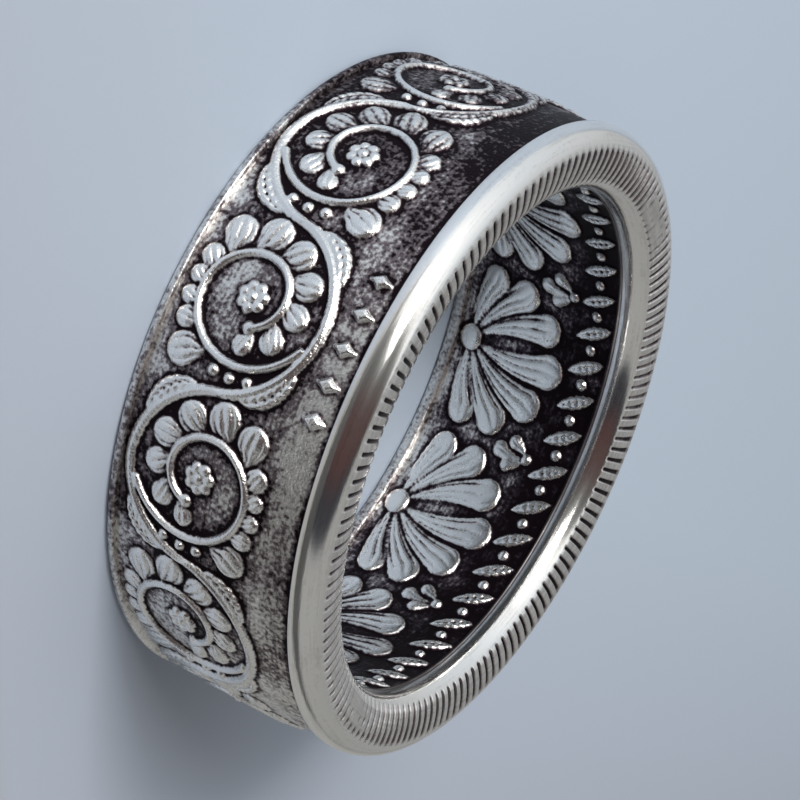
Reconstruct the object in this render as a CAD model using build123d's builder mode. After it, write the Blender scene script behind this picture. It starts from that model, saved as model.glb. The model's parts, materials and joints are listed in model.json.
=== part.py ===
"""A silver coin ring: a struck coin folded into a band, lying on its plain back edge.

The ring's axis is +Z and its reeded front face is up. The origin is in the middle of the
footprint, on the surface that the ring rests on. The whole ring is one piece of metal.
"""

import os
from math import asin, atan2, copysign, cos, degrees, hypot, radians, sin, sqrt, tan

from build123d import *

# Band
bore_radius = 9.5          # tightest place, a short cylinder just behind the front rim
ring_width = 8.5           # along the axis, from the rest face to the crest of the front face
rim_wall = 2.34            # wall at the front rim
back_wall = 1.65           # wall at the plain back border
back_flare = 0.65          # how much wider the bore is at the back edge than at the front
belly = 0.13               # how far the middle of the band swells past its two ends

# Front face and rim
face_arc = 3.2             # radius of the crowned front face
crest_shift = 0.35         # how far the face's crest lies outside the middle of the wall
outer_round = 0.8          # round from the front face to the outside
inner_round = 0.76         # round from the front face to the bore
rim_land = 0.22            # straight stretch outside, from the round to the field
bore_land = 0.36           # straight stretch inside, from the round to the field

# Back edge
back_outer_round = 0.3
back_inner_round = 0.35
back_land = 0.06           # smooth straight border outside, from the round to the field
back_inner_land = 0.2      # the same inside

# Relief
outer_relief = 0.22        # height of the relief over the outer field
inner_relief = 0.2         # height of the relief over the inner field
relief_margin = 0.12       # bare strip between the relief and a rim, a border or another row
relief_root = 0.06         # how deep a raised form is rooted in the band

# The ornament comes round in equal repeats
repeats = 3
first_angle = 250.0        # where the first repeat starts, in degrees

# Reeds of the front face
reeds_in_repeat = 50
reed_depth = 0.12
reed_groove = 0.28         # width of a groove where it opens
reed_outer_run = 0.12      # how far a groove runs on over the round at the outside
reed_inner_run = 0.2       # the same over the round at the bore
reed_clearance = 0.04      # how far the cutter of a groove stands over the face

# Leaf scroll outside: a wave of stem with a curled leaf in each of its bends
bends_in_repeat = 4
stem_width = 0.4
rib_width = 0.3            # rib that a leaf's lobes grow from
curl_shift = 0.15          # from the middle of a bend back to the middle of its curl
curl_tightness = 1.4       # above 1, a curl closes faster at its start than at its end
hub_radius = 0.6           # boss in the middle of a curl
lobe_lean = 45.0           # degrees between a lobe and the way straight out from the curl
lobe_sag = 0.06            # how far a lobe's wedge bends, as a share of its length
berry_radius = 0.2
berry_gap = 0.45           # from the rib to the middle of a berry

# Lozenges in the plain channel between the ornament and the front rim
channel_width = 1.45
lozenges_in_repeat = 5
lozenge_start = 4.0        # degrees from the start of a repeat
lozenge_pitch = 6.0
lozenge_length = 0.95      # along the axis
lozenge_width = 0.62

# Row of slanted leaves and beads inside, behind the front rim
row_leaves_in_repeat = 14
row_leaf_length = 1.7
row_leaf_width = 0.55
row_slant = 62.0           # degrees between a leaf and the circumference
row_bead_radius = 0.22

# Shells inside, and the drops that hang between them
shells_in_repeat = 3
shell_foot = 0.5           # radius of the foot
drop_share = 0.36          # length of a drop's lobes as a share of the shell's height

# The rib of a curl: how far round, how far out as a share of half the ornament's height, and
# the number of arcs that it is drawn with
CURL_RIB = {
    "first_turn": -70,
    "last_turn": 340,
    "first_share": 0.94,
    "last_share": 0.37,
    "arcs": 4,
}

# Lobes of a curled leaf: their place on the rib, length as a share of half the ornament's
# height, and width as a share of their own length
CURL_LOBES = [
    # turn, length_share, width_share
    (20, 0.56, 0.77),
    (45, 0.32, 0.9),
    (64, 0.27, 0.92),
    (83, 0.27, 0.92),
    (101, 0.34, 0.9),
    (124, 0.56, 0.75),
    (155, 0.53, 0.82),
    (188, 0.48, 0.84),
    (222, 0.45, 0.85),
    (257, 0.4, 0.86),
    (293, 0.42, 0.76),
    (329, 0.38, 0.7),
]
BERRY_TURNS = (-22, -8, 6)

# Leaf in the corner beside a bend, as shares of the bend's half-length and half-height
CORNER_LEAF = {
    "root_along": 1.0,
    "root_down": 0.28,
    "tip_along": 1.55,
    "tip_down": 0.9,
    "near_rise": 0.08,
    "far_rise": 0.34,
}

# Lobes of a shell and of a drop: turn, length as a share of the longest, and width as a
# share of their own length
SHELL_LOBES = [
    # turn, length_share, width_share
    (0, 1.0, 0.32),
    (25, 0.96, 0.32),
    (-25, 0.96, 0.32),
    (50, 0.86, 0.34),
    (-50, 0.86, 0.34),
    (76, 0.72, 0.38),
    (-76, 0.72, 0.38),
]
DROP_LOBES = [
    # turn, length_share, width_share
    (0, 1.0, 0.42),
    (32, 0.72, 0.5),
    (-32, 0.72, 0.5),
]

# Sizes that follow
rim_radius = bore_radius + rim_wall
back_bore_radius = bore_radius + back_flare
back_radius = back_bore_radius + back_wall
belly_radius = (rim_radius + back_radius) / 2 + belly
crest_radius = bore_radius + rim_wall / 2 + crest_shift
outer_half = rim_radius - crest_radius
inner_half = crest_radius - bore_radius
face_centre_height = ring_width - face_arc


def shoulder(half):
    """The level of the crowned face where it would meet a wall that far from its crest."""
    return face_centre_height + sqrt(face_arc**2 - half**2)


def round_foot(half, corner_round):
    """The level where the round on that side of the face meets the straight wall below it."""
    return face_centre_height + sqrt((face_arc - corner_round) ** 2 - (half - corner_round) ** 2)


def round_turn(half, corner_round):
    """The angle at the face's centre from the crest to the start of the round on that side."""
    return asin((half - corner_round) / (face_arc - corner_round))


outer_field_top = round_foot(outer_half, outer_round) - rim_land
inner_field_top = round_foot(inner_half, inner_round) - bore_land
back_border = back_outer_round + back_land
inner_border = back_inner_round + back_inner_land

# Degrees that each pattern takes
repeat_turn = 360 / repeats
bend_pitch = repeat_turn / bends_in_repeat
row_pitch = repeat_turn / row_leaves_in_repeat
shell_pitch = repeat_turn / shells_in_repeat
reed_pitch = repeat_turn / reeds_in_repeat

# Levels of the ornament outside
relief_low = back_border + relief_margin / 2
relief_high = outer_field_top - relief_margin
zone_low = back_border + relief_margin
zone_high = outer_field_top - channel_width
zone_height = zone_high - zone_low
zone_middle = (zone_high + zone_low) / 2
channel_middle = (zone_high + outer_field_top) / 2

# One bend of the scroll, measured from its middle
bend_reach = belly_radius * radians(bend_pitch) / 2
bend_crown = (zone_height - stem_width) / 2
curl_middle = (-curl_shift, -stem_width / 2)

# Levels of the ornament inside
row_high = inner_field_top - relief_margin
row_height = row_leaf_length * sin(radians(row_slant))
row_middle = row_high - row_height / 2
drop_high = row_high - row_height - relief_margin
shell_low = inner_border + relief_margin
shell_height = drop_high - shell_low


def outer_curve(inset, low, high):
    """The barrel of the outside, set in by inset, from the low level to the high one."""
    middle = (belly_radius - inset, (low + high) / 2)
    return ThreePointArc((back_radius - inset, low), middle, (rim_radius - inset, high))


def leaf(length, low_rise, high_rise):
    """A leaf from the origin to its tip on +X: two arcs that pass those heights half-way."""
    with BuildSketch(mode=Mode.PRIVATE) as outline:
        with BuildLine():
            ThreePointArc((0, 0), (length / 2, high_rise), (length, 0))
            ThreePointArc((length, 0), (length / 2, low_rise), (0, 0))
        make_face()
    return outline.sketch


def lobe(length, width, sag):
    """A teardrop from its foot at the origin to its round end on +X, bent a little by sag."""
    middle = length - width / 2
    taper = asin(width / 2 / middle)
    along = middle * cos(taper) ** 2
    aside = along * tan(taper)
    with BuildSketch(mode=Mode.PRIVATE) as outline:
        with BuildLine():
            ThreePointArc((0, 0), (along / 2, aside / 2 + sag), (along, aside))
            ThreePointArc((along, aside), (length, 0), (along, -aside))
            ThreePointArc((along, -aside), (along / 2, -aside / 2 + sag), (0, 0))
        make_face()
    return outline.sketch


def curl_point(turn, beyond=0.0):
    """A point on the rib of a curl, or further out beyond it. Turns run clockwise."""
    turns = CURL_RIB["last_turn"] - CURL_RIB["first_turn"]
    left = (CURL_RIB["last_turn"] - turn) / turns
    opening = (CURL_RIB["first_share"] - CURL_RIB["last_share"]) * left**curl_tightness
    radius = zone_height / 2 * (CURL_RIB["last_share"] + opening) + beyond
    return (
        curl_middle[0] + radius * cos(radians(turn)),
        curl_middle[1] - radius * sin(radians(turn)),
    )


def corner_leaf(side):
    """The leaf in the corner before a bend, at side -1, or after it, at side 1."""
    root = (CORNER_LEAF["root_along"] * bend_reach, -CORNER_LEAF["root_down"] * bend_crown)
    tip = (CORNER_LEAF["tip_along"] * bend_reach, -CORNER_LEAF["tip_down"] * bend_crown)
    length = hypot(tip[0] - root[0], tip[1] - root[1])
    slope = degrees(atan2(tip[1] - root[1], tip[0] - root[0]))
    turn = slope if side > 0 else 180 - slope
    low = -side * CORNER_LEAF["far_rise"] * length
    high = -side * CORNER_LEAF["near_rise"] * length
    with BuildSketch(mode=Mode.PRIVATE) as outline:
        with Locations(Location((side * root[0], root[1], 0), (0, 0, turn))):
            add(leaf(length, low, high))
    return outline.sketch


def scroll_bend():
    """A stem that arches up, the leaf that curls under it, and the leaves in its corners."""
    arc_turn = (CURL_RIB["last_turn"] - CURL_RIB["first_turn"]) / CURL_RIB["arcs"]
    with BuildSketch(mode=Mode.PRIVATE) as outline:
        with BuildLine():
            ThreePointArc((-bend_reach, 0), (0, bend_crown), (bend_reach, 0))
        trace(line_width=stem_width)
        with BuildLine():
            for number in range(CURL_RIB["arcs"]):
                first = CURL_RIB["first_turn"] + number * arc_turn
                middle = first + arc_turn / 2
                last = first + arc_turn
                ThreePointArc(curl_point(first), curl_point(middle), curl_point(last))
        trace(line_width=rib_width)
        for turn, length_share, width_share in CURL_LOBES:
            length = length_share * zone_height / 2
            with Locations(Location((*curl_point(turn), 0), (0, 0, -turn - lobe_lean))):
                add(lobe(length, width_share * length, lobe_sag * length))
        with Locations(*(curl_point(turn, berry_gap) for turn in BERRY_TURNS)):
            Circle(berry_radius)
        with Locations(curl_middle):
            Circle(hub_radius)
        add(corner_leaf(-1))
        add(corner_leaf(1))
    return outline.sketch


def hanging(outline):
    """The same outline upside down, not turned."""
    with BuildSketch(mode=Mode.PRIVATE) as mirrored:
        mirror(outline, about=Plane.XZ)
    return mirrored.sketch


def lozenge():
    """A small diamond, longer along the ring's axis."""
    with BuildSketch(mode=Mode.PRIVATE) as outline:
        with BuildLine():
            Polyline(
                (0, -lozenge_length / 2),
                (lozenge_width / 2, 0),
                (0, lozenge_length / 2),
                (-lozenge_width / 2, 0),
                close=True,
            )
        make_face()
    return outline.sketch


def row_leaf():
    """A leaf that slants across the row inside the rim."""
    foot = (-row_leaf_length / 2 * cos(radians(row_slant)), -row_height / 2, 0)
    with BuildSketch(mode=Mode.PRIVATE) as outline:
        with Locations(Location(foot, (0, 0, row_slant))):
            add(leaf(row_leaf_length, -row_leaf_width / 2, row_leaf_width / 2))
    return outline.sketch


def row_bead():
    """A bead between two leaves of the row."""
    with BuildSketch(mode=Mode.PRIVATE) as outline:
        Circle(row_bead_radius)
    return outline.sketch


def lobe_fan(lobes, reach, foot_radius):
    """Lobes that spread up from a round foot, as far as reach."""
    with BuildSketch(mode=Mode.PRIVATE) as outline:
        with Locations((0, foot_radius)):
            Circle(foot_radius)
        for turn, length_share, width_share in lobes:
            length = length_share * (reach - foot_radius)
            sag = copysign(lobe_sag, turn) * length
            with Locations(Location((0, foot_radius, 0), (0, 0, 90 + turn))):
                add(lobe(length, width_share * length, sag))
    return outline.sketch


def raised(outline, height, skin):
    """A form of the relief: its outline at that height, carried out to the skin it stands in."""
    with BuildPart(mode=Mode.PRIVATE) as form:
        with BuildSketch(Plane(origin=(0, 0, height), x_dir=(0, 1, 0), z_dir=(1, 0, 0))):
            add(outline)
        extrude(amount=belly_radius + outer_relief)
        add(skin, mode=Mode.INTERSECT)
    return form.part


def spread(form, count, start, pitch):
    """Copies of a form round the axis, in degrees from the start of the repeat."""
    return [form.rotate(Axis.Z, start + number * pitch) for number in range(count)]


# The skins that the relief stands in, outside and inside
with BuildPart() as outer_skin:
    with BuildSketch(Plane.XZ):
        with BuildLine():
            root = outer_curve(outer_relief + relief_root, relief_low, relief_high)
            crown = outer_curve(0, relief_low, relief_high)
            Line(root @ 0, crown @ 0)
            Line(root @ 1, crown @ 1)
        make_face()
    revolve(axis=Axis.Z)

with BuildPart() as inner_skin:
    with BuildSketch(Plane.XZ):
        with BuildLine():
            Polyline(
                (bore_radius, row_high),
                (bore_radius + inner_relief + relief_root, row_high),
                (back_bore_radius + inner_relief + relief_root, shell_low),
                (back_bore_radius, shell_low),
                close=True,
            )
        make_face()
    revolve(axis=Axis.Z)

# The raised forms of one repeat
bend_over = raised(scroll_bend(), zone_middle, outer_skin.part)
bend_under = raised(hanging(scroll_bend()), zone_middle, outer_skin.part)
channel_lozenge = raised(lozenge(), channel_middle, outer_skin.part)
slanted_leaf = raised(row_leaf(), row_middle, inner_skin.part)
bead = raised(row_bead(), row_middle, inner_skin.part)
shell = raised(lobe_fan(SHELL_LOBES, shell_height, shell_foot), shell_low, inner_skin.part)
drop_fan = lobe_fan(DROP_LOBES, drop_share * shell_height, row_bead_radius)
drop = raised(hanging(drop_fan), drop_high, inner_skin.part)

outer_forms = [
    *spread(bend_over, (bends_in_repeat + 1) // 2, bend_pitch / 2, 2 * bend_pitch),
    *spread(bend_under, bends_in_repeat // 2, bend_pitch * 3 / 2, 2 * bend_pitch),
    *spread(channel_lozenge, lozenges_in_repeat, lozenge_start, lozenge_pitch),
]
inner_forms = [
    *spread(slanted_leaf, row_leaves_in_repeat, row_pitch / 4, row_pitch),
    *spread(bead, row_leaves_in_repeat, row_pitch * 3 / 4, row_pitch),
    *spread(shell, shells_in_repeat, shell_pitch / 2, shell_pitch),
    *spread(drop, shells_in_repeat, 0, shell_pitch),
]

# The cutter of one reed groove, a notch carried along the crowned front face
face_centre = (crest_radius, 0, face_centre_height)
reed_inner_turn = round_turn(inner_half, inner_round) + reed_inner_run / face_arc
reed_outer_turn = round_turn(outer_half, outer_round) + reed_outer_run / face_arc
reed_top = reed_groove / 2 * (1 + reed_clearance / reed_depth)
reed_plane = Plane(
    origin=face_centre, x_dir=(0, 1, 0), z_dir=(cos(reed_inner_turn), 0, sin(reed_inner_turn))
)
with BuildPart() as reed:
    with BuildSketch(reed_plane):
        with BuildLine():
            Polyline(
                (0, face_arc - reed_depth),
                (reed_top, face_arc + reed_clearance),
                (-reed_top, face_arc + reed_clearance),
                close=True,
            )
        make_face()
    revolve(
        axis=Axis(face_centre, (0, 1, 0)),
        revolution_arc=degrees(reed_inner_turn + reed_outer_turn),
    )

reeds = spread(reed.part, reeds_in_repeat, reed_pitch / 2, reed_pitch)

# One repeat of the ring: its section turned about the axis, with its reeds and its relief
outer_shoulder = (rim_radius, shoulder(outer_half))
inner_shoulder = (bore_radius, shoulder(inner_half))
with BuildPart() as ring_repeat:
    with BuildSketch(Plane.XZ) as section:
        with BuildLine():
            outer_curve(outer_relief, back_border, outer_field_top)
            Polyline(
                (rim_radius - outer_relief, outer_field_top),
                (rim_radius, outer_field_top),
                outer_shoulder,
            )
            ThreePointArc(outer_shoulder, (crest_radius, ring_width), inner_shoulder)
            Polyline(
                inner_shoulder,
                (bore_radius, inner_field_top),
                (bore_radius + inner_relief, inner_field_top),
                (back_bore_radius + inner_relief, inner_border),
                (back_bore_radius, inner_border),
                (back_bore_radius, 0),
                (back_radius, 0),
                (back_radius, back_border),
                (back_radius - outer_relief, back_border),
            )
        make_face()
        for corner, radius in (
            (outer_shoulder, outer_round),
            (inner_shoulder, inner_round),
            ((back_radius, 0), back_outer_round),
            ((back_bore_radius, 0), back_inner_round),
        ):
            fillet(section.vertices().sort_by_distance(corner)[0], radius=radius)
    revolve(axis=Axis.Z, revolution_arc=repeat_turn)
    add(reeds, mode=Mode.SUBTRACT)
    add(outer_forms)
    add(inner_forms)

# The whole ring
with BuildPart() as ring_band:
    with PolarLocations(0, repeats, start_angle=first_angle):
        add(ring_repeat)

ring_band.part.label = "ring_band"
os.makedirs("parts", exist_ok=True)
export_step(ring_band.part, "parts/ring_band.step")
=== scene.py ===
"""A coin ring of darkened silver that lies on its plain back edge, under soft studio light.

The ornament of each side is drawn as heights over a ground that follows the solid, and becomes
closed skins. The front rim and the back edge are sections turned round the axis. Each point of a
mesh holds how brightly it is rubbed, together with painted light and shade by the angle round
the ring, and the silver materials read that as its shine.
"""

import json
import math

import bpy
import numpy as np
from mathutils import Matrix, Vector


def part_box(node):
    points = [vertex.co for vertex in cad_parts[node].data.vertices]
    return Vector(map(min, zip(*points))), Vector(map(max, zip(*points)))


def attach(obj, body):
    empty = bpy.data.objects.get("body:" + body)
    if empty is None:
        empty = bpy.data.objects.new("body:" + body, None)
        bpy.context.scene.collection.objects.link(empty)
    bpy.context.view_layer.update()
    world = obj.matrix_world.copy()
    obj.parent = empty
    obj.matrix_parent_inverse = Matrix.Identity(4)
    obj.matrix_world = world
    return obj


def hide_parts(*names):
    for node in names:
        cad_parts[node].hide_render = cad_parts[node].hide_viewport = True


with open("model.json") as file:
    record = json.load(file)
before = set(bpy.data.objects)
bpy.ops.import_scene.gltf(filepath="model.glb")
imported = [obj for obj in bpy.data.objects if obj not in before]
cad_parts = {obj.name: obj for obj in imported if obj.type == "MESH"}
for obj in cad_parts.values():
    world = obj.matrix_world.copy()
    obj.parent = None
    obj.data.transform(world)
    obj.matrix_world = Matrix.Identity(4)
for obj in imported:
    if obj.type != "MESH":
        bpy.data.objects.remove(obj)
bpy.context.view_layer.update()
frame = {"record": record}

MM = 0.001
NODE = "ring_band"

# Sizes of the ring, in millimetres; the overall ones come from the frame
low_corner, high_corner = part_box(NODE)
ring_width = (high_corner[2] - low_corner[2]) / MM
belly_radius = (high_corner[1] - low_corner[1]) / 2 / MM
bore_radius = frame["record"]["mounts"][0]["dims"]["r_mm"]
rim_wall = 2.34
back_wall = 1.65
back_flare = 0.65
face_arc = 3.2
crest_shift = 0.35
outer_round = 0.8
inner_round = 0.76
rim_land = 0.22
bore_land = 0.36
back_outer_round = 0.3
back_inner_round = 0.35
back_land = 0.06
back_inner_land = 0.2
outer_relief = 0.22
inner_relief = 0.2
relief_margin = 0.12

# The ornament, as in the solid
repeats = 3
first_angle = 250.0
bends_in_repeat = 4
stem_width = 0.4
rib_width = 0.3
curl_shift = 0.15
curl_tightness = 1.4
hub_radius = 0.6
lobe_lean = 45.0
lobe_sag = 0.06
berry_radius = 0.2
berry_gap = 0.45
channel_width = 1.45
lozenges_in_repeat = 5
lozenge_start = 4.0
lozenge_pitch = 6.0
lozenge_length = 0.95
lozenge_width = 0.62
row_leaves_in_repeat = 14
row_leaf_length = 1.7
row_leaf_width = 0.55
row_slant = 62.0
row_bead_radius = 0.22
shells_in_repeat = 3
shell_foot = 0.5
drop_share = 0.36
reeds_in_repeat = 50
reed_depth = 0.12
reed_groove = 0.28
reed_outer_run = 0.12
reed_taper = 0.25  # how much narrower and shallower a reed is at its inner end
reed_steepness = 1.7
reed_end = 0.1  # how far from its end a reed has its full depth
reed_patch_cells = (6, 1.5)  # spreads of the worn patches, in mesh steps round and across

CURL_RIB = {"first_turn": -70, "last_turn": 340, "first_share": 0.94, "last_share": 0.37}
CURL_LOBES = [
    # turn, length_share, width_share
    (20, 0.56, 0.77),
    (45, 0.32, 0.9),
    (64, 0.27, 0.92),
    (83, 0.27, 0.92),
    (101, 0.34, 0.9),
    (124, 0.56, 0.75),
    (155, 0.53, 0.82),
    (188, 0.48, 0.84),
    (222, 0.45, 0.85),
    (257, 0.4, 0.86),
    (293, 0.42, 0.76),
    (329, 0.38, 0.7),
]
BERRY_TURNS = (-22, -8, 6)
CORNER_LEAF = {
    "root_along": 1.0,
    "root_down": 0.28,
    "tip_along": 1.55,
    "tip_down": 0.9,
    "near_rise": 0.08,
    "far_rise": 0.34,
}
SHELL_LOBES = [
    # turn, length_share, width_share
    (0, 1.0, 0.32),
    (25, 0.96, 0.32),
    (-25, 0.96, 0.32),
    (50, 0.86, 0.34),
    (-50, 0.86, 0.34),
    (76, 0.72, 0.38),
    (-76, 0.72, 0.38),
]
DROP_LOBES = [
    # turn, length_share, width_share
    (0, 1.0, 0.42),
    (32, 0.72, 0.5),
    (-32, 0.72, 0.5),
]

# Where the reeds are rubbed down: angle round the ring and half-width in degrees, and how much
RUBBED_REEDS = [
    # angle, spread, amount
    (158, 11, 0.95),
    (118, 20, 0.4),
    (345, 9, 0.9),
    (322, 22, 0.6),
]

# How far the reeds run on over the round at the bore, and the width of their grooves as a
# share of the widest, by the angle round the ring
REED_ENDS = [
    # angle, run, width
    (0, 0.36, 0.8),
    (75, 0.12, 0.85),
    (150, 0.08, 0.95),
    (205, 0.25, 1.0),
    (250, 0.3, 0.75),
    (300, 0.35, 0.6),
]

# How bright the ground of each zone is rubbed, and how much brighter the raised forms are, by
# the angle round the ring. Part of this is wear and patina, and part is painted light and shade
# that lightens or darkens whole sides of the ring.
OUTER_POLISH_AND_PAINTED_LIGHT = [
    # angle, ornament, channel, raised forms
    (20, 0.6, 0.5, 1.0),
    (120, 0.48, 0.4, 0.9),
    (200, 0.3, 0.12, 0.35),
    (225, 0.38, 0.16, 0.55),
    (250, 0.65, 0.5, 1.0),
    (278, 0.66, 0.86, 1.0),
    (305, 0.56, 0.5, 1.0),
    (335, 0.84, 0.62, 1.0),
]
# Inside, the painted light is brightest about 85 degrees, where the wall faces the key light
INNER_POLISH_AND_PAINTED_LIGHT = [
    # angle, shells, row, raised forms
    (30, 0.38, 0.3, 0.8),
    (85, 0.68, 0.34, 1.35),
    (150, 0.52, 0.32, 1.0),
    (230, 0.5, 0.34, 1.0),
    (330, 0.42, 0.3, 0.85),
]

# How the relief is worn and rubbed; spreads are in millimetres
relief_softness = 0.03
wear_lumps = 0.9
least_wear = 0.74
edge_spread = 0.09
edge_gain = 2.2
crown_spread = 0.35
crown_gain = 1.1
height_gain = 0.35
seam_width = 0.32  # of the dark seam beside the front rim

# Fine lines of the forms; depths are shares of a form's height
leaf_groove_width = 0.05
leaf_groove_depth = 0.45
leaf_vein_pitch = 0.3
leaf_vein_slant = 0.9
leaf_vein_depth = 0.3
lobe_vein_pitch = 0.62  # as a share of the lobe's half-width
lobe_vein_depth = 0.3
stem_line_place = 0.45  # as a share of the stem's half-width
stem_line_depth = 0.35
hub_petals = 7
hub_bead_share = 0.36  # radii of the boss's bead, ring and petals, as shares of the boss's
hub_ring_share = 0.62
hub_petal_share = 0.37
least_height = 0.05  # of a leaf or a lobe, at the bottom of its lines

# Meshes: steps round the ring and up it, how many skins make up a side, and points of the arcs
OUTER_STEPS = (1920, 136)
INNER_STEPS = (1280, 104)
OUTER_SKINS = 3
INNER_SKINS = 2
BACK_STEPS = 360
REED_STEPS = (-0.36, -0.3, -0.22, -0.12, 0.0, 0.12, 0.22, 0.3, 0.36, 0.5)  # shares of the pitch
OUTER_ROUND_POINTS = 9
FACE_POINTS = 20
INNER_ROUND_POINTS = 16
tuck = 0.06  # how far a skin's edge runs on into the rim beside it
skin_depth = 0.15  # how deep a skin's hidden underside lies below its ground
wall_depth = 0.35  # how deep the rim and the back edge reach into the wall
rim_rise = 0.3  # how far up the rim's hidden underside lies
back_chamfer = 0.04

# The lips of the rim beside the relief: how far in from its surface, how far up from the
# relief's edge, and how bright
OUTER_LIP = [
    # inset, rise, shine
    (outer_relief + skin_depth, 0.0, 0.0),
    (outer_relief, 0.0, 0.0),
    (0.05, 0.0, 0.0),
    (0.015, 0.02, 0.0),
    (0.0, 0.06, 1.0),
]
INNER_LIP = [
    # inset, rise, shine
    (0.0, 0.2, 0.75),
    (0.03, 0.16, 0.3),
    (0.0, 0.12, 0.65),
    (0.0, 0.05, 0.1),
    (0.015, 0.02, 0.1),
    (0.05, 0.0, 0.1),
    (wall_depth, 0.0, 0.1),
    (wall_depth, rim_rise, 0.1),
]
face_shine = 0.84
hidden_shine = 0.1

# Sizes that follow
rim_radius = bore_radius + rim_wall
back_bore_radius = bore_radius + back_flare
back_radius = back_bore_radius + back_wall
crest_radius = bore_radius + rim_wall / 2 + crest_shift
outer_half = rim_radius - crest_radius
inner_half = crest_radius - bore_radius
face_centre_height = ring_width - face_arc
face_middle = (crest_radius, face_centre_height)


def round_foot(half, corner_round):
    """The level where the round on that side of the face meets the straight wall below it."""
    rise = (face_arc - corner_round) ** 2 - (half - corner_round) ** 2
    return face_centre_height + math.sqrt(rise)


def round_turn(half, corner_round):
    """The angle at the face's centre from the crest to the start of the round on that side."""
    return math.asin((half - corner_round) / (face_arc - corner_round))


outer_field_top = round_foot(outer_half, outer_round) - rim_land
inner_field_top = round_foot(inner_half, inner_round) - bore_land
back_border = back_outer_round + back_land
inner_border = back_inner_round + back_inner_land
repeat_turn = 360 / repeats
bend_pitch = repeat_turn / bends_in_repeat
row_pitch = repeat_turn / row_leaves_in_repeat
shell_pitch = repeat_turn / shells_in_repeat
reed_pitch = repeat_turn / reeds_in_repeat
zone_low = back_border + relief_margin
zone_high = outer_field_top - channel_width
zone_height = zone_high - zone_low
zone_middle = (zone_high + zone_low) / 2
channel_middle = (zone_high + outer_field_top) / 2
bend_reach = belly_radius * math.radians(bend_pitch) / 2
bend_crown = (zone_height - stem_width) / 2
curl_middle = (-curl_shift, -stem_width / 2)
row_high = inner_field_top - relief_margin
row_height = row_leaf_length * math.sin(math.radians(row_slant))
row_middle = row_high - row_height / 2
drop_high = row_high - row_height - relief_margin
shell_low = inner_border + relief_margin
shell_height = drop_high - shell_low
curl_turns = CURL_RIB["last_turn"] - CURL_RIB["first_turn"]


# Height fields


def blurred(field, spread_round, spread_up):
    """A field smoothed over two spreads, in cells; its first axis wraps round the ring."""
    pad = 24
    padded = np.pad(field, ((0, 0), (pad, pad)), mode="edge")
    for axis, spread in ((0, spread_round), (1, spread_up)):
        count = padded.shape[axis]
        gain = np.exp(-2 * (math.pi * np.fft.rfftfreq(count) * spread) ** 2)
        shape = (-1, 1) if axis == 0 else (1, -1)
        wave = np.fft.rfft(padded, axis=axis) * gain.reshape(shape)
        padded = np.fft.irfft(wave, n=count, axis=axis)
    return padded[:, pad:-pad]


def rising(value, run):
    """From 0 where a value is nothing to 1 where it is the run or more."""
    return np.clip(value / run, 0, 1)


def carried_round(turns, table, column):
    """A column of a table by angle, carried round the ring between its angles."""
    angles = [row[0] for row in table]
    return np.interp(turns, angles, [row[column] for row in table], period=360)[:, None]


def smooth_noise(shape, spread_round, spread_up, seed):
    """Seeded noise from 0 to 1 with lumps of the given spreads, in cells."""
    rough = np.random.default_rng(seed).standard_normal(shape)
    noise = blurred(rough, spread_round, spread_up)
    return np.clip(0.5 + 0.2 * (noise - noise.mean()) / noise.std(), 0, 1)


def arc_rise(along, length, rise):
    """Height of an arc over its chord at a place along it; zero at and past the ends."""
    radius = (length**2 / 4 + rise**2) / (2 * rise)
    centred = np.clip(along - length / 2, -length / 2, length / 2)
    return np.sqrt(radius**2 - centred**2) - (radius - rise)


def turned(x, y, foot, turn):
    """Coordinates along and across a form that starts at foot and points at turn degrees."""
    c = math.cos(math.radians(turn))
    s = math.sin(math.radians(turn))
    return c * (x - foot[0]) + s * (y - foot[1]), -s * (x - foot[0]) + c * (y - foot[1])


def signed_rise(along, length, rise):
    """An arc over its chord, or under it where rise is negative."""
    return math.copysign(1, rise) * arc_rise(along, length, abs(rise))


def leaf_form(x, y, foot, turn, length, low_rise, high_rise):
    """A leaf between two arcs, with a groove down its middle and fine slanting veins."""
    along, across = turned(x, y, foot, turn)
    low = signed_rise(along, length, low_rise)
    high = signed_rise(along, length, high_rise)
    half = np.maximum((high - low) / 2, 1e-4)
    aside = across - (high + low) / 2
    share = rising(np.abs(aside), half)
    inside = (along > 0) & (along < length) & (share < 1)
    body = np.sqrt(1 - share**3) * rising(half, (high_rise - low_rise) / 2) ** 0.35
    groove = leaf_groove_depth * np.exp(-((aside / leaf_groove_width) ** 2)) * rising(half, 0.2)
    slanted = along - leaf_vein_slant * np.abs(aside)
    ripple = 0.5 + 0.5 * np.cos(2 * math.pi * slanted / leaf_vein_pitch)
    veins = leaf_vein_depth * ripple**3 * rising(half, 0.3)
    return np.where(inside, np.maximum(body - groove - veins, least_height), 0)


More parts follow.
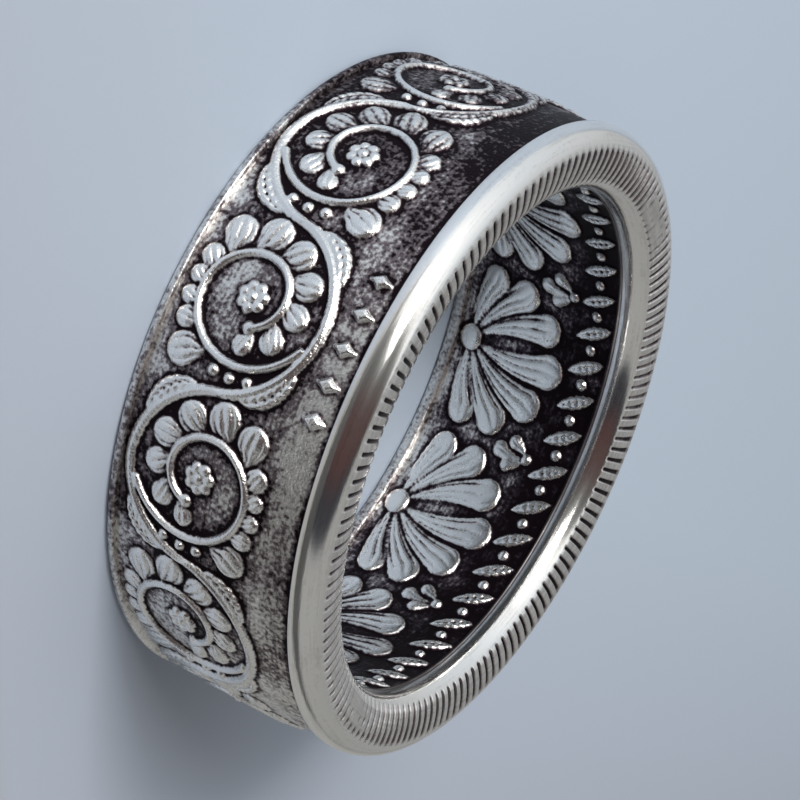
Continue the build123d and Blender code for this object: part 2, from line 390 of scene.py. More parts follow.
def lobe_form(x, y, foot, turn, length, width, sag):
    """A crowned teardrop with three fine grooves that run from its foot to its round end."""
    along, across = turned(x, y, foot, turn)
    end = width / 2
    middle = length - end
    taper = math.asin(end / middle)
    touch = middle * math.cos(taper) ** 2
    way = rising(along, touch)
    cap = np.sqrt(np.maximum(end**2 - (along - middle) ** 2, 1e-8))
    half = np.where(along < touch, np.maximum(along, 0) * math.tan(taper), cap)
    half = np.maximum(half, 1e-4)
    aside = (across - 4 * sag * way * (1 - way)) / half
    share = np.clip(np.abs(aside), 0, 1)
    inside = (along > 0) & (along < length) & (share < 1)
    body = np.sqrt(1 - share**2.5) * rising(half, end) ** 0.45
    lean = 0.86 + 0.14 * np.clip(aside, -1, 1)
    slope = 0.5 + 0.5 * rising(along, 0.7 * length)
    ripple = 0.5 + 0.5 * np.cos(2 * math.pi * aside / lobe_vein_pitch)
    fade = rising(along, 0.3 * length) * rising(length - along, 0.25 * length) * rising(half, 0.25)
    veins = lobe_vein_depth * ripple**4 * fade
    return np.where(inside, np.maximum(body * lean * slope - veins, least_height), 0)


def bead_form(x, y, middle, radius):
    """A half-round bead."""
    away = np.hypot(x - middle[0], y - middle[1]) / radius
    return np.sqrt(np.clip(1 - away**2, 0, 1))


def stem_form(x, y):
    """A round stem that arches up between two points on the middle line of the ornament."""
    radius = (bend_reach**2 + bend_crown**2) / (2 * bend_crown)
    away = np.abs(np.hypot(x, y - (bend_crown - radius)) - radius) / (stem_width / 2)
    line = stem_line_depth * np.exp(-((away - stem_line_place) ** 2) / 0.02)
    body = np.sqrt(np.clip(1 - away**2.5, 0, 1)) - line
    on_arch = (np.abs(x) <= bend_reach + 0.02) & (y > -stem_width)
    return np.where(on_arch, np.maximum(body, 0), 0)


def curl_radius(turn):
    """How far the rib of a curl lies from its middle; the turn runs clockwise."""
    left = rising(CURL_RIB["last_turn"] - turn, curl_turns)
    opening = (CURL_RIB["first_share"] - CURL_RIB["last_share"]) * left**curl_tightness
    return zone_height / 2 * (CURL_RIB["last_share"] + opening)


def curl_point(turn, beyond=0.0):
    """A point on the rib of a curl, or beyond it."""
    radius = curl_radius(turn) + beyond
    return (
        curl_middle[0] + radius * math.cos(math.radians(turn)),
        curl_middle[1] - radius * math.sin(math.radians(turn)),
    )


def rib_form(x, y):
    """The rib that a curled leaf's lobes grow from, a spiral that ends in a small knob."""
    aside, down = x - curl_middle[0], curl_middle[1] - y
    away = np.hypot(aside, down)
    turn = np.degrees(np.arctan2(down, aside)) % 360
    form = bead_form(x, y, curl_point(CURL_RIB["last_turn"]), 0.8 * rib_width)
    for winding in (turn - 360, turn):
        on_rib = (winding >= CURL_RIB["first_turn"]) & (winding <= CURL_RIB["last_turn"])
        off = np.abs(away - curl_radius(winding)) / (rib_width / 2)
        body = np.sqrt(np.clip(1 - off**2, 0, 1))
        form = np.maximum(form, np.where(on_rib, body, 0))
    return form


def hub_form(x, y):
    """The boss in the middle of a curl: a ring of small round petals about a bead."""
    form = 1.1 * bead_form(x, y, curl_middle, hub_bead_share * hub_radius)
    ring = hub_ring_share * hub_radius
    for number in range(hub_petals):
        angle = 2 * math.pi * number / hub_petals
        middle = (curl_middle[0] + ring * math.cos(angle), curl_middle[1] + ring * math.sin(angle))
        petal = bead_form(x, y, middle, hub_petal_share * hub_radius)
        form = np.maximum(form, 0.85 * petal)
    return form


def corner_form(x, y, side):
    """The leaf in the corner before a bend, at side -1, or after it, at side 1."""
    root = (CORNER_LEAF["root_along"] * bend_reach, -CORNER_LEAF["root_down"] * bend_crown)
    tip = (CORNER_LEAF["tip_along"] * bend_reach, -CORNER_LEAF["tip_down"] * bend_crown)
    length = math.hypot(tip[0] - root[0], tip[1] - root[1])
    slope = math.degrees(math.atan2(tip[1] - root[1], tip[0] - root[0]))
    near = CORNER_LEAF["near_rise"] * length
    far = CORNER_LEAF["far_rise"] * length
    if side > 0:
        return leaf_form(x, y, root, slope, length, -far, -near)
    return leaf_form(x, y, (-root[0], root[1]), 180 - slope, length, near, far)


def scroll_form(x, y):
    """One bend of the scroll: its stem, the leaf that curls under it and its corner leaves."""
    form = np.maximum(stem_form(x, y), 0.95 * rib_form(x, y))
    for turn, length_share, width_share in CURL_LOBES:
        length = length_share * zone_height / 2
        width = width_share * length
        lobe = lobe_form(x, y, curl_point(turn), -turn - lobe_lean, length, width, lobe_sag * length)
        form = np.maximum(form, lobe)
    for turn in BERRY_TURNS:
        form = np.maximum(form, 0.9 * bead_form(x, y, curl_point(turn, berry_gap), berry_radius))
    form = np.maximum(form, hub_form(x, y))
    return np.maximum(form, np.maximum(corner_form(x, y, -1), corner_form(x, y, 1)))


def lozenge_form(x, y):
    """A small diamond with four facets."""
    away = np.abs(x) / (lozenge_width / 2) + np.abs(y) / (lozenge_length / 2)
    return np.clip(2.2 * (1 - away), 0, 1)


def row_leaf_form(x, y):
    """A leaf that slants across the row inside the rim."""
    foot = (-row_leaf_length / 2 * math.cos(math.radians(row_slant)), -row_height / 2)
    half = row_leaf_width / 2
    return leaf_form(x, y, foot, row_slant, row_leaf_length, -half, half)


def row_bead_form(x, y):
    """A bead between two leaves of the row."""
    return bead_form(x, y, (0, 0), row_bead_radius)


def fan_form(x, y, lobes, reach, foot_radius):
    """Lobes that spread up from a round foot, as far as reach."""
    form = bead_form(x, y, (0, foot_radius), foot_radius)
    for turn, length_share, width_share in lobes:
        length = length_share * (reach - foot_radius)
        sag = math.copysign(lobe_sag, turn) * length
        lobe = lobe_form(x, y, (0, foot_radius), 90 + turn, length, width_share * length, sag)
        form = np.maximum(form, lobe)
    return form


def shell_form(x, y):
    """A shell of seven lobes."""
    return fan_form(x, y, SHELL_LOBES, shell_height, shell_foot)


def drop_form(x, y):
    """A small fan of three lobes."""
    return fan_form(x, y, DROP_LOBES, drop_share * shell_height, row_bead_radius)


class ReliefField:
    """Heights over the ground of one side of the ring, and their shine, round the axis and up it."""

    def __init__(self, steps, low, high, radius):
        self.turns = first_angle + 360 * np.arange(steps[0]) / steps[0]
        self.levels = np.linspace(low, high, steps[1] + 1)
        self.radius = radius
        self.height = np.zeros((steps[0], steps[1] + 1))
        self.shine = np.ones_like(self.height)
        self.cell_round = math.radians(360 / steps[0]) * radius
        self.cell_up = (high - low) / steps[1]

    def stamp(self, form, angle, level, reach, hanging):
        """Raise one form at an angle and a level, upright or hanging; reach is its half-width."""
        off = np.radians((self.turns - angle + 180) % 360 - 180)
        rows = np.flatnonzero(np.abs(off) < 1.2 * reach / self.radius)
        x = (self.radius * np.sin(off[rows]))[:, None]
        y = (self.levels - level)[None, :]
        if hanging:
            y = -y
        self.height[rows] = np.maximum(self.height[rows], form(x, y))

    def spread(self, form, count, start, pitch, level, reach, hanging=False):
        """Raise a form count times in each repeat of the ring, a pitch apart."""
        for repeat in range(repeats):
            for number in range(count):
                angle = first_angle + repeat * repeat_turn + start + number * pitch
                self.stamp(form, angle, level, reach, hanging)

    def softened(self, values, spread):
        """Values blurred over a spread in millimetres."""
        return blurred(values, spread / self.cell_round, spread / self.cell_up)


def outer_field():
    """The ornament outside: the leaf scroll, and lozenges in the channel beside the rim."""
    field = ReliefField(OUTER_STEPS, back_border - tuck, outer_field_top + tuck, belly_radius)
    over = (bends_in_repeat + 1) // 2
    under = bends_in_repeat // 2
    reach = (CORNER_LEAF["tip_along"] + 0.1) * bend_reach
    start = bend_pitch / 2
    pitch = 2 * bend_pitch
    field.spread(scroll_form, over, start, pitch, zone_middle, reach)
    field.spread(scroll_form, under, start + bend_pitch, pitch, zone_middle, reach, hanging=True)
    lozenges = (lozenges_in_repeat, lozenge_start, lozenge_pitch)
    field.spread(lozenge_form, *lozenges, channel_middle, reach=lozenge_width)
    return field


def inner_field():
    """The ornament inside: a row of slanted leaves and beads, shells, and drops between them."""
    field = ReliefField(INNER_STEPS, inner_border - tuck, inner_field_top + tuck, bore_radius)
    leaves = row_leaves_in_repeat
    shells = shells_in_repeat
    field.spread(row_leaf_form, leaves, row_pitch / 4, row_pitch, row_middle, reach=1)
    field.spread(row_bead_form, leaves, row_pitch * 3 / 4, row_pitch, row_middle, reach=1)
    field.spread(shell_form, shells, shell_pitch / 2, shell_pitch, shell_low, reach=4)
    field.spread(drop_form, shells, 0, shell_pitch, drop_high, reach=2, hanging=True)
    return field


def finish_field(field, relief, ground, raised, seed):
    """Soften and wear the relief, and work out how bright each place is rubbed, with the painted
    light and shade of the polish tables on the ground and the raised forms.
    """
    lumps = (wear_lumps / field.cell_round, wear_lumps / field.cell_up)
    wear = least_wear + (1 - least_wear) * smooth_noise(field.height.shape, *lumps, seed)
    worn = field.softened(field.height, relief_softness) * wear
    edges = worn - field.softened(worn, edge_spread)
    crowns = worn - field.softened(worn, crown_spread)
    rubbed = edge_gain * edges + crown_gain * crowns + height_gain * worn
    seam = rising(field.levels[-1] - tuck - field.levels, seam_width)
    field.shine = np.clip(ground + rubbed * raised, 0, 1) * seam[None, :]
    field.height = worn * relief


def outer_shine(field):
    """Polish and painted light and shade of the outer ground, in the ornament and in the channel
    beside the rim.
    """
    channel = rising(field.levels - zone_high, 0.5)[None, :]
    ornament = carried_round(field.turns, OUTER_POLISH_AND_PAINTED_LIGHT, 1)
    beside_rim = carried_round(field.turns, OUTER_POLISH_AND_PAINTED_LIGHT, 2)
    return ornament * (1 - channel) + beside_rim * channel


def inner_shine(field):
    """Polish and painted light and shade of the inner ground, in the shells and in the row behind the
    rim.
    """
    shells = rising(drop_high - field.levels, 0.6)[None, :]
    ornament = carried_round(field.turns, INNER_POLISH_AND_PAINTED_LIGHT, 1)
    behind_rim = carried_round(field.turns, INNER_POLISH_AND_PAINTED_LIGHT, 2)
    return ornament * shells + behind_rim * (1 - shells)


# Meshes


def circle_points(turns, radii, levels):
    """Points in metres at given angles, radii and levels, which broadcast together."""
    angle = np.radians(turns)
    x, y, z = np.broadcast_arrays(np.cos(angle) * radii, np.sin(angle) * radii, levels + 0 * radii)
    return np.stack([x, y, z], axis=-1) * MM


def grid_normals(points, outward):
    """Normals of a grid that wraps round the ring on its first axis."""
    round_step = np.roll(points, -1, axis=0) - np.roll(points, 1, axis=0)
    up_step = np.gradient(points, axis=1)
    normal = np.cross(round_step, up_step) * outward
    return normal / np.linalg.norm(normal, axis=-1, keepdims=True)


def new_mesh(name, points, faces, shine, material, normals=None):
    """A mesh object with its shine stored on its points."""
    mesh = bpy.data.meshes.new(name)
    mesh.from_pydata(points.tolist(), [], faces)
    mesh.update()
    mesh.shade_smooth()
    if normals is not None:
        mesh.normals_split_custom_set_from_vertices(normals.tolist())
    attribute = mesh.attributes.new("shine", "FLOAT", "POINT")
    attribute.data.foreach_set("value", shine.astype(np.float32))
    mesh.materials.append(material)
    piece = bpy.data.objects.new(name, mesh)
    bpy.context.scene.collection.objects.link(piece)
    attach(piece, "root")
    return piece


def skin_faces(rows, columns, flip):
    """Faces of a closed skin: its relief, the walls and underside of its edges, and its ends."""
    corner = np.arange(rows * columns).reshape(rows, columns)
    quads = np.stack([corner[:-1, :-1], corner[1:, :-1], corner[1:, 1:], corner[:-1, 1:]], axis=-1)
    faces = quads.reshape(-1, 4).tolist()
    under = rows * columns
    for row in range(rows - 1):
        near = row * columns
        far = near + columns
        near_under = under + 2 * row
        far_under = near_under + 2
        faces.append([near, near_under, far_under, far])
        faces.append([far - 1, far + columns - 1, far_under + 1, near_under + 1])
        faces.append([near_under, near_under + 1, far_under + 1, far_under])
    faces.append([*range(columns), under + 1, under])
    far_under = under + 2 * rows - 2
    faces.append([far_under, far_under + 1, *reversed(range(under - columns, under))])
    return [face[::-1] for face in faces] if flip else faces


def skin_pieces(name, field, ground, outward, parts, material):
    """Closed skins of relief over a ground curve, in equal parts round the ring.

    outward is 1 where the relief faces away from the axis and -1 where it faces the bore.
    """
    base = ground(field.levels)
    points = circle_points(
        field.turns[:, None], base[None, :] + outward * field.height, field.levels[None, :]
    )
    undersides = circle_points(
        field.turns[:, None],
        (base[[0, -1]] - outward * skin_depth)[None, :],
        field.levels[[0, -1]][None, :],
    )
    normals = grid_normals(points, outward)
    total, columns = field.height.shape
    share = total // parts
    faces = skin_faces(share + 1, columns, outward < 0)
    pieces = []
    for part in range(parts):
        rows = np.arange(part * share, (part + 1) * share + 1) % total
        under = undersides[rows].reshape(-1, 3)
        skin = np.vstack([points[rows].reshape(-1, 3), under])
        skin_normals = np.vstack([normals[rows].reshape(-1, 3), np.zeros_like(under)])
        shine = np.concatenate([field.shine[rows].ravel(), np.zeros(len(under))])
        pieces.append(new_mesh(f"{name}_{part + 1}", skin, faces, shine, material, skin_normals))
    return pieces


def outer_ground(levels):
    """Radius of the outer field's ground, which is the band's barrel set in by the relief."""
    share = (levels - back_border) / (outer_field_top - back_border)
    chord = back_radius + (rim_radius - back_radius) * share
    bulge = belly_radius - (rim_radius + back_radius) / 2
    return chord + 4 * share * (1 - share) * bulge - outer_relief


def inner_ground(levels):
    """Radius of the inner field's ground, a cone that widens to the back."""
    share = (inner_field_top - levels) / (inner_field_top - inner_border)
    return bore_radius + back_flare * share + inner_relief


def arc_points(centre, radius, start, end, count):
    """Points of a section's arc; angles in degrees from the outward direction."""
    angles = np.radians(np.linspace(start, end, count))
    return [(centre[0] + radius * math.cos(a), centre[1] + radius * math.sin(a)) for a in angles]


def loop_mesh(name, section, turns, shine, material, shift=(0.0, 0.0)):
    """A closed ring: a closed section turned round the axis, its points shifted out and up."""
    shape = (len(turns), len(section))
    radii = np.broadcast_to(section[:, 0] + shift[0], shape)
    levels = np.broadcast_to(section[:, 1] + shift[1], shape)
    points = circle_points(turns[:, None], radii, levels)
    corner = np.arange(radii.size).reshape(shape)
    after = np.roll(corner, -1, axis=0)
    beside = np.roll(corner, -1, axis=1)
    both = np.roll(after, -1, axis=1)
    faces = np.stack([corner, after, both, beside], axis=-1).reshape(-1, 4).tolist()
    return new_mesh(name, points.reshape(-1, 3), faces, shine.ravel(), material)


def rubbed_reeds(turns):
    """How far the reeds are rubbed down at each turn, from 0 to 1."""
    rubbed = np.zeros(len(turns))
    for angle, spread, amount in RUBBED_REEDS:
        off = (turns - angle + 180) % 360 - 180
        rubbed = np.maximum(rubbed, amount * np.exp(-((off / spread) ** 4)))
    return rubbed


def reed_depths(turns, run, face_length):
    """Depth of the reeds at each turn, and at each distance along the face from its outside."""
    off = (turns - first_angle) % reed_pitch - reed_pitch / 2
    away = np.abs(np.radians(off))[:, None] * crest_radius
    to_outer = run[None, :] + reed_outer_run
    to_inner = face_length + carried_round(turns, REED_ENDS, 1) - run[None, :]
    share = np.clip(to_outer / (to_outer + to_inner), 0, 1)
    taper = 1 - reed_taper * share
    half_width = reed_groove / 2 * taper * carried_round(turns, REED_ENDS, 2)
    notch = np.clip(reed_steepness * (1 - away / half_width), 0, 1)
    ends = rising(to_outer, reed_end) * rising(to_inner, reed_end)
    middle = rising(share - 0.08, 0.12) * rising(1 - share, 0.15)
    patches = 0.5 + smooth_noise((len(turns), len(run)), *reed_patch_cells, seed=8)
    worn = np.clip(rubbed_reeds(turns)[:, None] * middle * patches, 0, 1)
    return reed_depth * notch * ends * taper * (1 - worn)


def rim_section():
    """The rim's section: its points, the shine of each, and the first and last of its face."""
    outer_end = 90 - math.degrees(round_turn(outer_half, outer_round))
    inner_end = 90 + math.degrees(round_turn(inner_half, inner_round))
    outer_centre = (rim_radius - outer_round, round_foot(outer_half, outer_round))
    inner_centre = (bore_radius + inner_round, round_foot(inner_half, inner_round))
    outer_lip = [(rim_radius - inset, outer_field_top + rise) for inset, rise, _ in OUTER_LIP]
    outer_arc = arc_points(outer_centre, outer_round, 0, outer_end, OUTER_ROUND_POINTS)[:-1]
    face = arc_points(face_middle, face_arc, outer_end, inner_end, FACE_POINTS)
    inner_arc = arc_points(inner_centre, inner_round, inner_end, 180, INNER_ROUND_POINTS)[1:]
    inner_lip = [(bore_radius + inset, inner_field_top + rise) for inset, rise, _ in INNER_LIP]
    closing = (rim_radius - outer_relief - skin_depth, outer_field_top + rim_rise)
    section = outer_lip + outer_arc + face + inner_arc + inner_lip + [closing]
    shine = [row[2] for row in OUTER_LIP] + [1.0] * len(outer_arc) + [face_shine] * len(face)
    shine += [1.0] * len(inner_arc) + [row[2] for row in INNER_LIP] + [hidden_shine]
    first = len(outer_lip) + len(outer_arc)
    return np.array(section), np.array(shine), first, first + len(face) - 1


def front_rim(material):
    """The polished front rim, with its reeds sunk square to its face and dark at the bottom."""
    section, shine, first, last = rim_section()
    reeds = np.arange(repeats * reeds_in_repeat) + 0.5
    turns = first_angle + reed_pitch * (reeds[:, None] + np.array(REED_STEPS)[None, :]).ravel()
    run = np.concatenate([[0], np.cumsum(np.hypot(*np.diff(section, axis=0).T))])
    run -= run[first]
    depth = reed_depths(turns, run, run[last])
    normal = section - np.array(face_middle)
    normal /= np.linalg.norm(normal, axis=1, keepdims=True)
    shift = (-depth * normal[:, 0], -depth * normal[:, 1])
    darkness = np.clip(1.5 * depth / reed_depth, 0, 1) ** 1.2
    return loop_mesh("front_rim", section, turns, shine * (1 - darkness), material, shift)


def back_edge(material):
    """The plain rounded back edge that the ring lies on, rubbed and with painted light and shade like
    the ground beside it.
    """
    inner_centre = (back_bore_radius + back_inner_round, back_inner_round)
    outer_centre = (back_radius - back_outer_round, back_outer_round)
    inner_side = [
        (back_bore_radius + wall_depth, inner_border),
        (back_bore_radius + back_chamfer, inner_border),
        (back_bore_radius, inner_border - back_chamfer),
        *arc_points(inner_centre, back_inner_round, 180, 270, 7),
    ]
    outer_side = [
        *arc_points(outer_centre, back_outer_round, 270, 360, 8),
        (back_radius, back_border - back_chamfer),
        (back_radius - back_chamfer, back_border),
        (back_radius - outer_relief - skin_depth, back_border),
    ]
    turns = first_angle + 360 * np.arange(BACK_STEPS) / BACK_STEPS
    inner_rub_and_painted_light = np.repeat(carried_round(turns, INNER_POLISH_AND_PAINTED_LIGHT, 1), len(inner_side), axis=1)
    outer_rub_and_painted_light = np.repeat(carried_round(turns, OUTER_POLISH_AND_PAINTED_LIGHT, 1), len(outer_side), axis=1)
    shine = np.hstack([inner_rub_and_painted_light, outer_rub_and_painted_light])
    return loop_mesh("back_edge", np.array(inner_side + outer_side), turns, shine, material)


# Materials

# Noise in the silver, in lumps for each metre
BLOTCH_SCALE = 700.0
GRAIN_SCALE = 6500.0
STREAK_SCALE = 9000.0
PIT_SCALE = 12000.0
LINE_SCALE = 22000.0
STREAK_RUN = 0.0006  # how fast streaks and lines change round the ring

OXIDE = (0.014, 0.009, 0.012)
DARK_SILVER = (0.055, 0.042, 0.054)
DULL_SILVER = (0.22, 0.185, 0.195)
RUBBED_SILVER = (0.62, 0.6, 0.58)
BRIGHT_SILVER = (0.93, 0.92, 0.9)
OUTER_TONES = [(0.25, OXIDE), (0.48, DULL_SILVER), (0.62, RUBBED_SILVER), (0.85, BRIGHT_SILVER)]
INNER_TONES = [
    (0.2, OXIDE),
    (0.38, DARK_SILVER),
    (0.5, DULL_SILVER),
    (0.62, RUBBED_SILVER),
    (0.82, BRIGHT_SILVER),
]
RIM_TONES = [(0.1, OXIDE), (0.45, DULL_SILVER), (0.75, RUBBED_SILVER), (1.0, BRIGHT_SILVER)]


class Nodes:
    """Short ways to add nodes to a material's or the room's tree."""

    def __init__(self, owner):
        owner.use_nodes = True
        self.tree = owner.node_tree

    def add(self, kind, **inputs):
        """A node, with values or links for its named inputs."""
        node = self.tree.nodes.new("ShaderNode" + kind)
        for name, value in inputs.items():
            self.feed(node.inputs[name.replace("_", " ")], value)
        return node

    def feed(self, socket, value):
        """Set a socket, or link it if the value is another node's output."""
        if isinstance(value, bpy.types.NodeSocket):
            self.tree.links.new(value, socket)
        else:
            socket.default_value = value

    def maths(self, operation, *values):
        """The result of one operation on values or links."""
        node = self.tree.nodes.new("ShaderNodeMath")
        node.operation = operation
        for socket, value in zip(node.inputs, values):
            self.feed(socket, value)
        return node.outputs[0]

    def noise(self, vector, scale, detail):
        """Noise about 0, from -0.5 to 0.5."""
        node = self.add("TexNoise", Vector=vector, Scale=scale, Detail=detail)
        return self.maths("SUBTRACT", node.outputs["Fac"], 0.5)

    def ramp(self, value, stops):
        """A colour that runs through stops of place and colour."""
        node = self.add("ValToRGB", Fac=value)
        elements = node.color_ramp.elements
        while len(elements) < len(stops):
            elements.new(1.0)
        for element, (place, colour) in zip(elements, stops):
            element.position = place
            element.color = (*colour, 1)
        return node.outputs["Color"]

    def span(self, value, from_low, from_high, to_low, to_high):
        """A value carried from one range to another."""
        node = self.add(
            "MapRange",
            Value=value,
            From_Min=from_low,
            From_Max=from_high,
            To_Min=to_low,
            To_Max=to_high,
        )
        return node.outputs["Result"]


def ring_coordinates(nodes):
    """Object coordinates, and coordinates that run slowly round the ring, for streaks."""
    place = nodes.add("TexCoord").outputs["Object"]
    parts = nodes.add("SeparateXYZ", Vector=place).outputs
    squares = [nodes.maths("POWER", parts[name], 2.0) for name in ("X", "Y")]
    outward = nodes.maths("SQRT", nodes.maths("ADD", *squares))
    angle = nodes.maths("ARCTAN2", parts["Y"], parts["X"])
    slow = nodes.maths("MULTIPLY", angle, STREAK_RUN)
    return place, nodes.add("CombineXYZ", X=outward, Y=parts["Z"], Z=slow).outputs["Vector"]


def silver_material(name, tones, rough, blotch, grain, streak, pit_depth, line_depth=0.0):
    """Silver, dark where its shine is low, with blotches, grain and streaks in its tone.

    It has pits and lines of the given depths in millimetres, and the two values of rough are
    its roughness where it is dark and where it is bright.
    """
    material = bpy.data.materials.new(name)
    nodes = Nodes(material)
    place, along = ring_coordinates(nodes)
    # The shine attribute is rubbing and patina, with painted light and shade from the polish tables
    # on the relief and back edge; it sets the tone and the roughness
    shine = nodes.add("Attribute")
    shine.attribute_name = "shine"
    rubbed = shine.outputs["Fac"]
    for vector, scale, detail, amount in (
        (place, BLOTCH_SCALE, 3.0, blotch),
        (place, GRAIN_SCALE, 3.0, grain),
        (along, STREAK_SCALE, 4.0, streak),
    ):
        part = nodes.maths("MULTIPLY", nodes.noise(vector, scale, detail), amount)
        rubbed = nodes.maths("ADD", rubbed, part)
    shader = nodes.tree.nodes["Principled BSDF"]
    nodes.feed(shader.inputs["Base Color"], nodes.ramp(rubbed, tones))
    nodes.feed(shader.inputs["Roughness"], nodes.span(rubbed, 0.2, 0.9, *rough))
    shader.inputs["Metallic"].default_value = 1.0
    pits = nodes.maths("MULTIPLY", nodes.noise(place, PIT_SCALE, 2.0), pit_depth * MM)
    lines = nodes.maths("MULTIPLY", nodes.noise(along, LINE_SCALE, 2.0), line_depth * MM)
    height = nodes.maths("ADD", pits, lines)
    bump = nodes.add("Bump", Strength=1.0, Distance=1.0, Height=height)
    nodes.feed(shader.inputs["Normal"], bump.outputs["Normal"])
    return material


def relief_outside(material):
    """The skins of the ornament outside."""
    field = outer_field()
    # How much brighter the raised forms are: wear, and painted light and shade by the angle round the
    # ring
    raised = carried_round(field.turns, OUTER_POLISH_AND_PAINTED_LIGHT, 3)
    finish_field(field, outer_relief, outer_shine(field), raised, seed=3)
    return skin_pieces("relief_outside", field, outer_ground, 1, OUTER_SKINS, material)


def relief_inside(material):
    """The skins of the ornament inside."""
    field = inner_field()
    # How much brighter the raised forms are: wear, and painted light and shade by the angle round the
    # ring
    raised = carried_round(field.turns, INNER_POLISH_AND_PAINTED_LIGHT, 3)
    finish_field(field, inner_relief, inner_shine(field), raised, seed=5)
    return skin_pieces("relief_inside", field, inner_ground, -1, INNER_SKINS, material)


def silver_ring():
    """All pieces of the ring, which stand for its solid."""
    outer_silver = silver_material(
        "outer_silver", OUTER_TONES, (0.6, 0.27), blotch=0.6, grain=1.0, streak=0.3, pit_depth=0.02
    )
    inner_silver = silver_material(
        "inner_silver", INNER_TONES, (0.55, 0.27), blotch=0.95, grain=0.8, streak=0.3, pit_depth=0.012
    )
    rim_silver = silver_material(
        "rim_silver",
        RIM_TONES,
        (0.5, 0.16),
        blotch=0.2,
        grain=0.2,
        streak=0.42,
        pit_depth=0.0008,
        line_depth=0.003,
    )
    pieces = relief_outside(outer_silver) + relief_inside(inner_silver)
    pieces += [front_rim(rim_silver), back_edge(outer_silver)]
    for piece in pieces:
        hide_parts(NODE)


# The camera, the floor and the light


def view_axes(elevation, roll):
    """The camera's right, up and back directions for a view at -Y, rolled clockwise."""
    e = math.radians(elevation)
    r = math.radians(roll)
    back = Vector((0, -math.cos(e), math.sin(e)))
    level = Vector((1, 0, 0))
    upright = back.cross(level)
    right = math.cos(r) * level + math.sin(r) * upright
    return right, -math.sin(r) * level + math.cos(r) * upright, back


def photo_camera():
    """The camera at the photograph's angle to the ring; lengths are in millimetres."""
    view_elevation = 24.45
    view_roll = 114.28
    distance = 96.4
    ring_right = 3.68  # the front's middle is this far right of the picture's middle
    ring_down = 1.78
    aimed_level = ring_width - 0.13
    right, up, back = view_axes(view_elevation, view_roll)
    place = Vector((0, 0, aimed_level)) + back * distance - right * ring_right + up * ring_down
    data = bpy.data.cameras.new("camera")
    data.sensor_width = 36.0
    data.lens = 124.8
    data.clip_start = 0.001
    camera = bpy.data.objects.new("camera", data)
    facing = Matrix((right, up, back)).transposed().to_4x4()
    camera.matrix_world = Matrix.Translation(place * MM) @ facing
    bpy.context.scene.collection.objects.link(camera)
    bpy.context.scene.camera = camera


# The floor's colour by its distance to one side, as a share of floor_run: pale blue by the ring,
# then painted shade, a grey band and dark beyond it, which the polished rim also mirrors
FLOOR_COLOUR_AND_PAINTED_SHADE = [
    # place, colour
    (0.0, (0.4, 0.465, 0.55)),
    (0.213, (0.36, 0.4, 0.47)),
    (0.235, (0.34, 0.34, 0.33)),
    (0.33, (0.33, 0.33, 0.32)),
    (0.35, (0.05, 0.05, 0.05)),
    (1.0, (0.05, 0.05, 0.05)),
]
floor_reach = 3.0  # metres, as are the next runs
floor_run = 0.08
floor_side = 313.0  # the azimuth towards which the floor's painted shade deepens
corner_slope = 0.97  # it changes towards +X too, as fast as this
corner_run = 0.025  # and no further than this


def floor_material():
    """Pale blue by the ring, then painted shade: a band of grey, then dark."""
    material = bpy.data.materials.new("floor")
    nodes = Nodes(material)
    parts = nodes.add("SeparateXYZ", Vector=nodes.add("TexCoord").outputs["Object"]).outputs
    side = math.radians(floor_side)
    aside = nodes.maths(
        "ADD",
        nodes.maths("MULTIPLY", parts["X"], math.cos(side)),
        nodes.maths("MULTIPLY", parts["Y"], math.sin(side)),
    )
    to_corner = nodes.maths("MINIMUM", nodes.maths("MULTIPLY", parts["X"], corner_slope), corner_run)
    shade = nodes.span(nodes.maths("MAXIMUM", aside, to_corner), 0.0, floor_run, 0.0, 1.0)
    shader = nodes.tree.nodes["Principled BSDF"]
    nodes.feed(shader.inputs["Base Color"], nodes.ramp(shade, FLOOR_COLOUR_AND_PAINTED_SHADE))
    shader.inputs["Roughness"].default_value = 0.7
    return material


def plain_floor():
    """A wide floor under the ring, with painted shade towards one side."""
    signs = ((-1, -1), (1, -1), (1, 1), (-1, 1))
    corners = [(x * floor_reach, y * floor_reach, 0) for x, y in signs]
    mesh = bpy.data.meshes.new("floor")
    mesh.from_pydata(corners, [], [(0, 1, 2, 3)])
    mesh.materials.append(floor_material())
    floor = bpy.data.objects.new("floor", mesh)
    bpy.context.scene.collection.objects.link(floor)


# Lights; the last column says whether the silver mirrors them
light_distance = 0.5  # metres
LIGHTS = [
    # name, azimuth, elevation, size, power, colour, on_metal
    ("key", 232, 36, 0.26, 1.9, (1.0, 0.99, 0.97), True),
    ("floor light", 226, 40, 0.13, 0.85, (1.0, 0.99, 0.98), False),
    ("floor fill", 285, 30, 0.3, 0.4, (1.0, 1.0, 1.0), False),
]


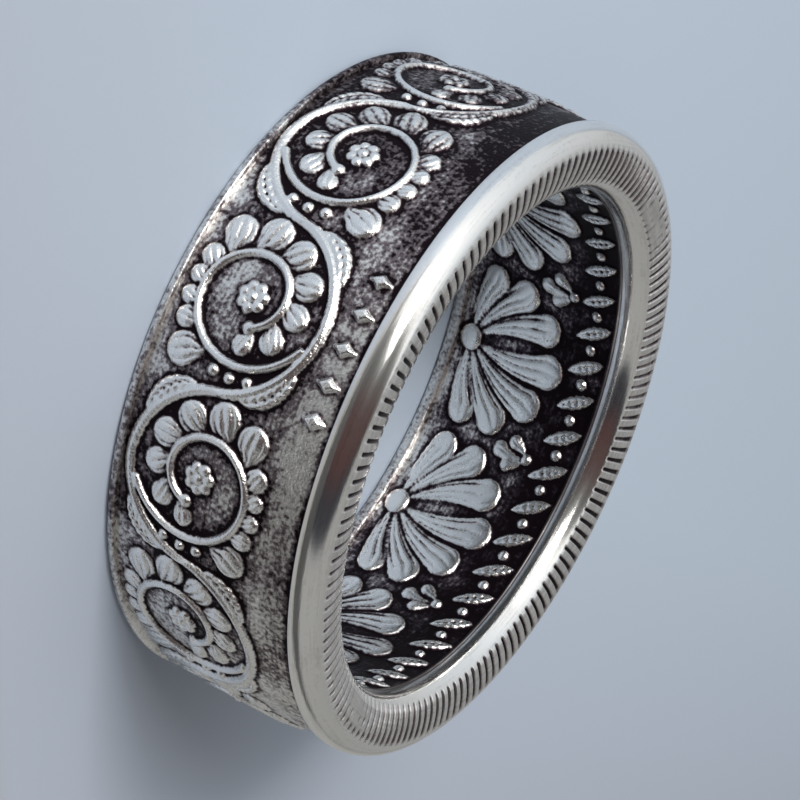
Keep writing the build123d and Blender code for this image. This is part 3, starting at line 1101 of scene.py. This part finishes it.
def area_light(name, azimuth, elevation, size, power, colour, on_metal):
    """A soft square light that faces the ring from a direction, in degrees."""
    data = bpy.data.lights.new(name, "AREA")
    data.shape = "SQUARE"
    data.size = size
    data.energy = power
    data.color = colour
    light = bpy.data.objects.new(name, data)
    a = math.radians(azimuth)
    e = math.radians(elevation)
    towards = Vector((math.cos(e) * math.cos(a), math.cos(e) * math.sin(a), math.sin(e)))
    light.location = towards * light_distance
    light.rotation_euler = towards.to_track_quat("Z", "Y").to_euler()
    light.visible_glossy = on_metal
    bpy.context.scene.collection.objects.link(light)


# The room round the ring, by azimuth about an axis that leans from +Z to +Y
ROOM_LEAN = 20.0
ROOM = [
    # azimuth, brightness, tint
    (0, 0.33, (1.0, 1.0, 0.98)),
    (60, 0.3, (1.0, 1.0, 0.98)),
    (100, 0.36, (0.98, 1.0, 1.02)),
    (140, 0.58, (0.97, 1.0, 1.03)),
    (180, 0.75, (0.94, 1.0, 1.05)),
    (232, 1.15, (0.99, 1.0, 1.0)),
    (244, 1.0, (1.0, 0.99, 0.96)),
    (249, 0.22, (1.0, 0.96, 0.93)),
    (262, 0.12, (0.95, 1.0, 0.97)),
    (276, 0.07, (1.2, 0.78, 0.74)),
    (296, 0.055, (1.35, 0.72, 0.7)),
    (306, 0.04, (0.95, 0.95, 1.1)),
    (320, 0.045, (0.9, 0.97, 1.15)),
    (325, 0.34, (1.0, 1.0, 0.98)),
]


def room_light():
    """A plain room that is pale on one side, grey on the other and dark between them."""
    world = bpy.data.worlds.new("room")
    nodes = Nodes(world)
    leaned = nodes.add("VectorRotate", Vector=nodes.add("TexCoord").outputs["Generated"])
    leaned.rotation_type = "X_AXIS"
    leaned.inputs["Angle"].default_value = math.radians(ROOM_LEAN)
    parts = nodes.add("SeparateXYZ", Vector=leaned.outputs["Vector"]).outputs
    turn = nodes.maths("DIVIDE", nodes.maths("ARCTAN2", parts["Y"], parts["X"]), 2 * math.pi)
    stops = [
        (azimuth / 360, tuple(brightness * part for part in tint))
        for azimuth, brightness, tint in ROOM
    ]
    colour = nodes.ramp(nodes.maths("FRACT", nodes.maths("ADD", turn, 1.0)), stops)
    nodes.feed(nodes.tree.nodes["Background"].inputs["Color"], colour)
    bpy.context.scene.world = world


def soft_light():
    """The room, a large soft light on its pale side, and two lights for the floor alone."""
    room_light()
    for row in LIGHTS:
        area_light(*row)


silver_ring()
plain_floor()
photo_camera()
soft_light()
bpy.context.scene.view_settings.view_transform = "Standard"
